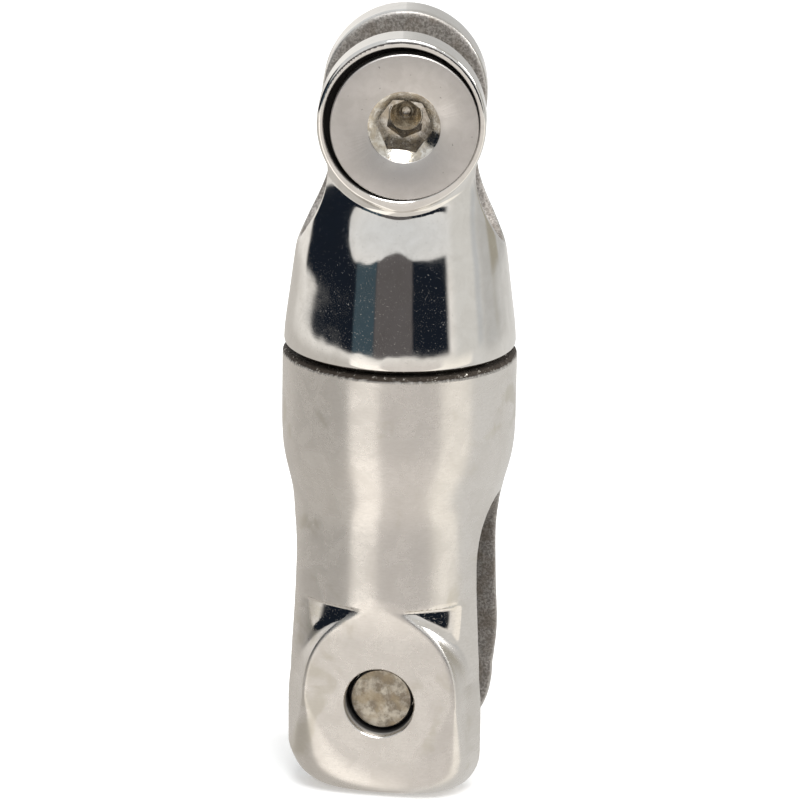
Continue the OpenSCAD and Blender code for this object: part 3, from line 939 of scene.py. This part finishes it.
# %% Mirror finish
mirror, tree, metal = new_finish("polished_stainless")
swell = noise(tree, place_of(tree), 5.5, 1.0, 0.3)
orange = noise(tree, place_of(tree), 1.5, 2.0)
haze = noise(tree, place_of(tree, centre=(0.003, 0.001, 0.002)), 2.8, 4.0, 0.6, 0.6)
hair = math_node(tree, "MAXIMUM", streaks(tree, (0.2, 0.9, 0.5), 0.16, 6.0, 0.80, 0.83),
                 streaks(tree, (1.3, 0.2, -0.8), 0.12, 5.0, 0.81, 0.84))
wheel = noise(tree, place_of(tree, (0.4, 0.4, 4.5), (0.25, 0.1, 0)), 1.0, 3.0, 0.6, 0.7)
cast_colour, cast_height = as_cast(tree)
cast = add(tree, "ShaderNodeAttribute", attribute_name="cast").outputs["Fac"]
colour = colour_by(tree, mask(tree, haze, 0.3, 0.75), (0.800, 0.785, 0.760), (0.735, 0.715, 0.685))
colour = colour_by(tree, cast, colour, cast_colour)
# Painted shade: deep in the pin bores the colour is near black, with more roughness and less metal.
bore_shade = add(tree, "ShaderNodeAttribute", attribute_name="bore_shade").outputs["Fac"]
colour = colour_by(tree, bore_shade, colour, (0.016, 0.013, 0.011))
rough = mask(tree, haze, 0.25, 0.8, 0.045, 0.115)
rough = value_by(tree, hair, rough, 0.18)
rough = value_by(tree, cast, rough, 0.60)
rough = value_by(tree, bore_shade, rough, 0.70)
shine = value_by(tree, bore_shade, value_by(tree, cast, 1.0, 0.72), 0.2)
bump = relief(tree, swell, 0.020)
bump = relief(tree, orange, 0.0016, bump)
bump = relief(tree, wheel, 0.0007, bump)
bump = relief(tree, math_node(tree, "MULTIPLY", hair, -1.0), 0.0022, bump)
bump = relief(tree, math_node(tree, "MULTIPLY", cast_height, cast), 0.16, bump)
plug(tree, metal, Base_Color=colour, Roughness=rough, Metallic=shine, Normal=bump)
print("mirror nodes:", len(tree.nodes))

# %% [markdown]
# ## Turned steel and the pin's end
# A lathe leaves rings, and handling leaves small pits and dull spots. The rings follow the
# distance from the piece's own axis, so each pin gets its own copy of the finish. The threaded
# end was sawn and never polished, so it is blotchy and brown.


# %% Turned finish
def turned_steel(name, axis_turn, height, colours=((0.72, 0.695, 0.675), (0.64, 0.615, 0.59)),
                 upright=False, haze_low=0.40):
    material, tree, metal = new_finish(name)
    tilt = (0, 0, 0) if upright else (math.pi / 2, 0, 0)
    at = add(tree, "ShaderNodeTexCoord").outputs["Object"]
    at = add(tree, "ShaderNodeVectorMath", {0: at, 1: (0, 0, height * MM)}, operation="SUBTRACT").outputs[0]
    at = add(tree, "ShaderNodeVectorRotate", {"Vector": at, "Axis": (0, 0, 1), "Angle": -axis_turn}).outputs[0]
    at = add(tree, "ShaderNodeMapping", {"Vector": at, "Rotation": tilt, "Scale": (1 / MM,) * 3}).outputs[0]
    flat = add(tree, "ShaderNodeVectorMath", {0: at, 1: (1, 1, 0)}, operation="MULTIPLY").outputs[0]
    reach = add(tree, "ShaderNodeVectorMath", {0: flat}, operation="LENGTH").outputs["Value"]
    along = add(tree, "ShaderNodeSeparateXYZ", {0: at}).outputs["Z"]
    ring_at = add(tree, "ShaderNodeCombineXYZ", {"X": reach, "Y": along}).outputs[0]
    rings = noise(tree, ring_at, 0.11, 3.0)
    clouds = noise(tree, at, 2.2, 4.0, 0.4, 0.6)
    pits = mask(tree, noise(tree, at, 0.42, 2.0, 0.5), 0.735, 0.765)
    colour = colour_by(tree, mask(tree, clouds, 0.3, 0.7), *colours)
    colour = colour_by(tree, math_node(tree, "MULTIPLY", pits, 0.7), colour, (0.16, 0.14, 0.12))
    rough = mask(tree, clouds, 0.25, 0.8, haze_low, haze_low + 0.10)
    bump = relief(tree, rings, 0.0028)
    bump = relief(tree, math_node(tree, "MULTIPLY", pits, -1.0), 0.02, bump)
    bump = relief(tree, noise(tree, at, 0.18, 1.0), 0.0025, bump)
    metal.inputs["Metallic"].default_value = 1.0
    plug(tree, metal, Base_Color=colour, Roughness=rough, Normal=bump)
    return material


chain_steel = turned_steel("turned_stainless_chain", FORK_TURN, CHAIN_PIN)
anchor_steel = turned_steel("turned_stainless_anchor", 0.0, ANCHOR_PIN)
inner_steel = turned_steel("turned_stainless_inner", 0.0, 0.0, upright=True)
bronze = turned_steel("bearing_bronze", 0.0, 0.0, ((0.62, 0.40, 0.17), (0.46, 0.27, 0.11)), True)
dark_steel = turned_steel("dark_bearing", 0.0, 0.0, ((0.075, 0.068, 0.060), (0.030, 0.026, 0.022)),
                          True, 0.50)


# %% Sawn, broached and rubber finishes
def blotched(name, light, dark, brown, size, rough_low, rough_high, depth, shine, twist=0.8):
    material, tree, metal = new_finish(name)
    at = place_of(tree, centre=(0.002, 0.003, 0.001))
    blots = noise(tree, at, size, 5.0, twist, 0.66)
    fine = noise(tree, at, size * 0.22, 3.0, 0.2, 0.6)
    tint = noise(tree, place_of(tree, centre=(0.011, 0.007, 0.005)), size * 1.4, 3.0)
    colour = colour_by(tree, mask(tree, blots, 0.38, 0.64), dark, light)
    colour = colour_by(tree, mask(tree, tint, 0.46, 0.66, 0.0, 0.75), colour, brown)
    rough = mask(tree, fine, 0.3, 0.7, rough_low, rough_high)
    bump = relief(tree, blots, depth)
    bump = relief(tree, fine, depth * 0.3, bump)
    metal.inputs["Metallic"].default_value = shine
    plug(tree, metal, Base_Color=colour, Roughness=rough, Normal=bump)
    return material


sawn_end = blotched("sawn_pin_end", (0.66, 0.61, 0.52), (0.30, 0.255, 0.20), (0.44, 0.36, 0.25),
                    1.3, 0.38, 0.60, 0.08, 0.85, 0.15)
broached = blotched("socket_stainless", (0.80, 0.77, 0.71), (0.46, 0.415, 0.35), (0.56, 0.49, 0.38),
                    1.1, 0.10, 0.26, 0.02, 1.0)
rubber = blotched("seal_rubber", (0.030, 0.029, 0.028), (0.014, 0.014, 0.015), (0.030, 0.026, 0.022),
                  0.9, 0.55, 0.75, 0.01, 0.0)
print("finishes:", len(bpy.data.materials))

# %% [markdown]
# ## Put the finishes on
# Most pieces take one finish. A pin takes three: its end and its socket are told apart by where
# their faces lie along the pin's axis and how far they are from it.


# %% Give out the finishes
def dress(piece, *finishes):
    piece.data.materials.clear()
    for finish in finishes:
        piece.data.materials.append(finish)


def dress_pin(piece, steel, face, height, flip, turned_by):
    dress(piece, steel, broached, sawn_end)
    back = along_y(height, flip, turned_by).inverted()
    for polygon in piece.data.polygons:
        c = back @ (Vector(polygon.center) / MM)
        reach = math.hypot(c.x, c.y)
        if c.z > face - TIP_INSET - 0.12 and reach < TIP_END_R - 0.08:
            polygon.material_index = 2
        elif c.z < face * 0.5 and c.z > -face + 0.06 and reach < 4.75:
            polygon.material_index = 1
        else:
            polygon.material_index = 0


dress(anchor_fork, satin)
dress(chain_fork, mirror)
dress_pin(chain_pin, chain_steel, CHAIN_FACE, CHAIN_PIN, False, FORK_TURN)
dress_pin(anchor_pin, anchor_steel, ANCHOR_FACE, ANCHOR_PIN, True, 0.0)
dress(chain_lock, broached)
dress(anchor_lock, broached)
dress(chain_head_washer, dark_steel)
dress(anchor_head_washer, dark_steel)
dress(ring_washer, dark_steel)
dress(load_washer, bronze)
dress(foot_washer, bronze)
dress(bush, bronze)
dress(collar, inner_steel)
dress(bolt, inner_steel)
dress(stub, inner_steel)
dress(seal, rubber)

# %% [markdown]
# ## Floor, light and surroundings
# Polished metal looks like what is round it. The surroundings are a bright tent with a few dark
# cards, and each card is a window in direction: so many degrees round and so many up. The floor
# is a plain pale disc that catches a soft shadow.

# %% Floor
bpy.context.scene.view_settings.view_transform = "Standard"
bpy.ops.mesh.primitive_circle_add(vertices=128, radius=3.0, fill_type="NGON", location=(0, 0, -0.00002))
floor = bpy.context.active_object
floor.name = "floor"
paper, tree, metal = new_finish("pale_floor", Roughness=0.9, Emission_Color=(1, 1, 1, 1),
                                Emission_Strength=0.22)
fibres = noise(tree, place_of(tree), 30.0)
plug(tree, metal, Base_Color=colour_by(tree, fibres, (0.90, 0.90, 0.895), (0.93, 0.93, 0.925)))
floor.data.materials.append(paper)
floor.visible_glossy = False

# %% Surroundings
world = bpy.data.worlds.new("tent")
bpy.context.scene.world = world
world.use_nodes = True
tree = world.node_tree
tree.nodes.clear()
look = add(tree, "ShaderNodeTexCoord").outputs["Generated"]
look = add(tree, "ShaderNodeVectorRotate", {"Vector": look, "Axis": (0, 0, 1), "Angle": -VIEW_AZ}).outputs[0]
xyz = add(tree, "ShaderNodeSeparateXYZ", {0: look})
ripple = noise(tree, look, 0.34, 1.0)
sway = math_node(tree, "MULTIPLY", math_node(tree, "SUBTRACT", ripple, 0.5), 5.0)
backward = math_node(tree, "MULTIPLY", xyz.outputs["Y"], -1.0)
round_at = math_node(tree, "DEGREES", math_node(tree, "ARCTAN2", xyz.outputs["X"], backward))
up_at = math_node(tree, "DEGREES", math_node(tree, "ARCSINE", xyz.outputs["Z"]))
up_at = math_node(tree, "ADD", up_at, sway)


def window(value, low, high, soft):
    rise = mask(tree, value, low - soft, low + soft)
    fall = mask(tree, value, high - soft, high + soft, 1.0, 0.0)
    return math_node(tree, "MULTIPLY", rise, fall)


def card(below, left, right, low, high, colour, soft=2.0, soft_up=2.0):
    """A card over what is behind it: degrees round from the camera, degrees up, colour."""
    across, upward = window(round_at, left, right, soft), window(up_at, low, high, soft_up)
    inside = math_node(tree, "MULTIPLY", across, upward)
    return colour_by(tree, inside, below, colour)


GROUND = -9.5
tent = colour_by(tree, mask(tree, up_at, -5, 35), (0.95, 0.92, 0.875), (0.76, 0.775, 0.785))
tent = card(tent, 56, 178, -80, 60, (0.75, 0.74, 0.71), 6, 3)
tent = card(tent, 92, 178, -80, 60, (0.57, 0.565, 0.55), 8, 3)
tent = card(tent, -178, -50, -80, GROUND, (0.62, 0.59, 0.55), 2.5, 3)
tent = card(tent, -50, -19, -80, GROUND, (1.36, 1.29, 1.20), 2.5, 3)
tent = card(tent, -19, 43, -80, GROUND, (0.81, 0.765, 0.72), 4, 3)
tent = card(tent, 43, 76, -80, GROUND, (1.16, 1.11, 1.02), 3, 3)
tent = card(tent, 76, 178, -80, GROUND, (0.77, 0.76, 0.735), 4, 3)
TORN_LEFT, TORN_WIDTH, TORN_TALLEST = -130.0, 190.0, 40.0
along_edge = math_node(tree, "DIVIDE", math_node(tree, "ADD", round_at, -TORN_LEFT), TORN_WIDTH)
torn = add(tree, "ShaderNodeFloatCurve", {"Factor": 1.0, "Value": along_edge})
heights = [(-124, 30), (-78, 27), (-59, 14), (-50, 9), (-44, 9.5), (-35, 10), (-25, 13.5), (-3, 19.5),
           (14, 16.5), (30, 14.0), (50, 13.5)]
points = torn.mapping.curves[0].points
for i, (azimuth, height) in enumerate(heights):
    at = ((azimuth - TORN_LEFT) / TORN_WIDTH, height / TORN_TALLEST)
    if i in (0, 1):
        points[i].location = at
    else:
        points.new(*at)
torn.mapping.update()
top = math_node(tree, "MULTIPLY", torn.outputs[0], TORN_TALLEST)


def dark_card(below, left, right, colour, soft=1.5):
    """A dark card that stands on the floor and ends at the torn edge."""
    under = mask(tree, math_node(tree, "SUBTRACT", up_at, top), -0.8, 0.8, 1.0, 0.0)
    inside = math_node(tree, "MULTIPLY", window(round_at, left, right, soft),
                       math_node(tree, "MULTIPLY", under, mask(tree, up_at, GROUND + 2, GROUND + 4)))
    return colour_by(tree, inside, below, colour)


tent = dark_card(tent, -122, 50, (0.010, 0.014, 0.022), 3)
tent = dark_card(tent, -48, -26, (0.055, 0.085, 0.105))
tent = dark_card(tent, -26, 12, (0.125, 0.115, 0.115))
tent = card(tent, 84, 92, GROUND + 3, 60, (0.60, 0.61, 0.615), 3)
tent = card(tent, 112, 130, GROUND + 3, 60, (0.42, 0.395, 0.33), 3)
seen = add(tree, "ShaderNodeLightPath").outputs["Is Camera Ray"]
shown = colour_by(tree, seen, tent, (1.0, 1.0, 1.0))
glow = add(tree, "ShaderNodeBackground", {"Color": shown, "Strength": 1.0})
add(tree, "ShaderNodeOutputWorld", {"Surface": glow.outputs[0]})


# %% Soft lights
def soft_light(name, azimuth, elevation, distance, size, watts):
    data = bpy.data.lights.new(name, "AREA")
    data.shape, data.size, data.energy = "DISK", size, watts
    light = bpy.data.objects.new(name, data)
    bpy.context.scene.collection.objects.link(light)
    away = direction(VIEW_AZ + math.radians(azimuth), math.radians(elevation))
    light.location = Vector((0, 0, 0.05)) + away * distance
    light.rotation_euler = away.to_track_quat("Z", "Y").to_euler()
    return light


soft_light("overhead", 20, 72, 1.1, 0.8, 11.0)
soft_light("right_side", 105, 30, 0.9, 0.35, 2.0)

# %% [markdown]
# ## Tie the pieces to the CAD model
# Each detailed piece stands for one CAD node and rides on that node's body, so it moves with
# the joint. Each row also lists a slot name for its finish.

# %% Ride and replace
FITTINGS = [
    (anchor_fork, "anchor_fork", "anchor_fork", "satin_stainless"),
    (collar, "gland_nut", "anchor_fork", "turned_stainless"),
    (bush, "journal_bush", "anchor_fork", "bearing_bronze"),
    (load_washer, "load_washer", "anchor_fork", "bearing_bronze"),
    (foot_washer, "foot_washer", "anchor_fork", "bearing_bronze"),
    (ring_washer, "ring_washer", "anchor_fork", "dark_bearing"),
    (chain_fork, "chain_fork", "chain_fork", "polished_stainless"),
    (bolt, "swivel_bolt", "chain_fork", "turned_stainless"),
    (stub, "bolt_lock_screw", "chain_fork", "turned_stainless"),
    (seal, "bolt_seal", "chain_fork", "seal_rubber"),
    (anchor_pin, "anchor_pin", "anchor_pin", "turned_stainless"),
    (anchor_head_washer, "anchor_pin_washer", "anchor_pin", "dark_bearing"),
    (anchor_lock, "anchor_pin_lock_screw", "anchor_lock", "socket_stainless"),
    (chain_pin, "chain_pin", "chain_pin", "turned_stainless"),
    (chain_head_washer, "chain_pin_washer", "chain_pin", "dark_bearing"),
    (chain_lock, "chain_pin_lock_screw", "chain_lock", "socket_stainless"),
]
for piece, node, body, slot in FITTINGS:
    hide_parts(node)
    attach(piece, body)
    print(piece.name, "stands for", node, "on", body)
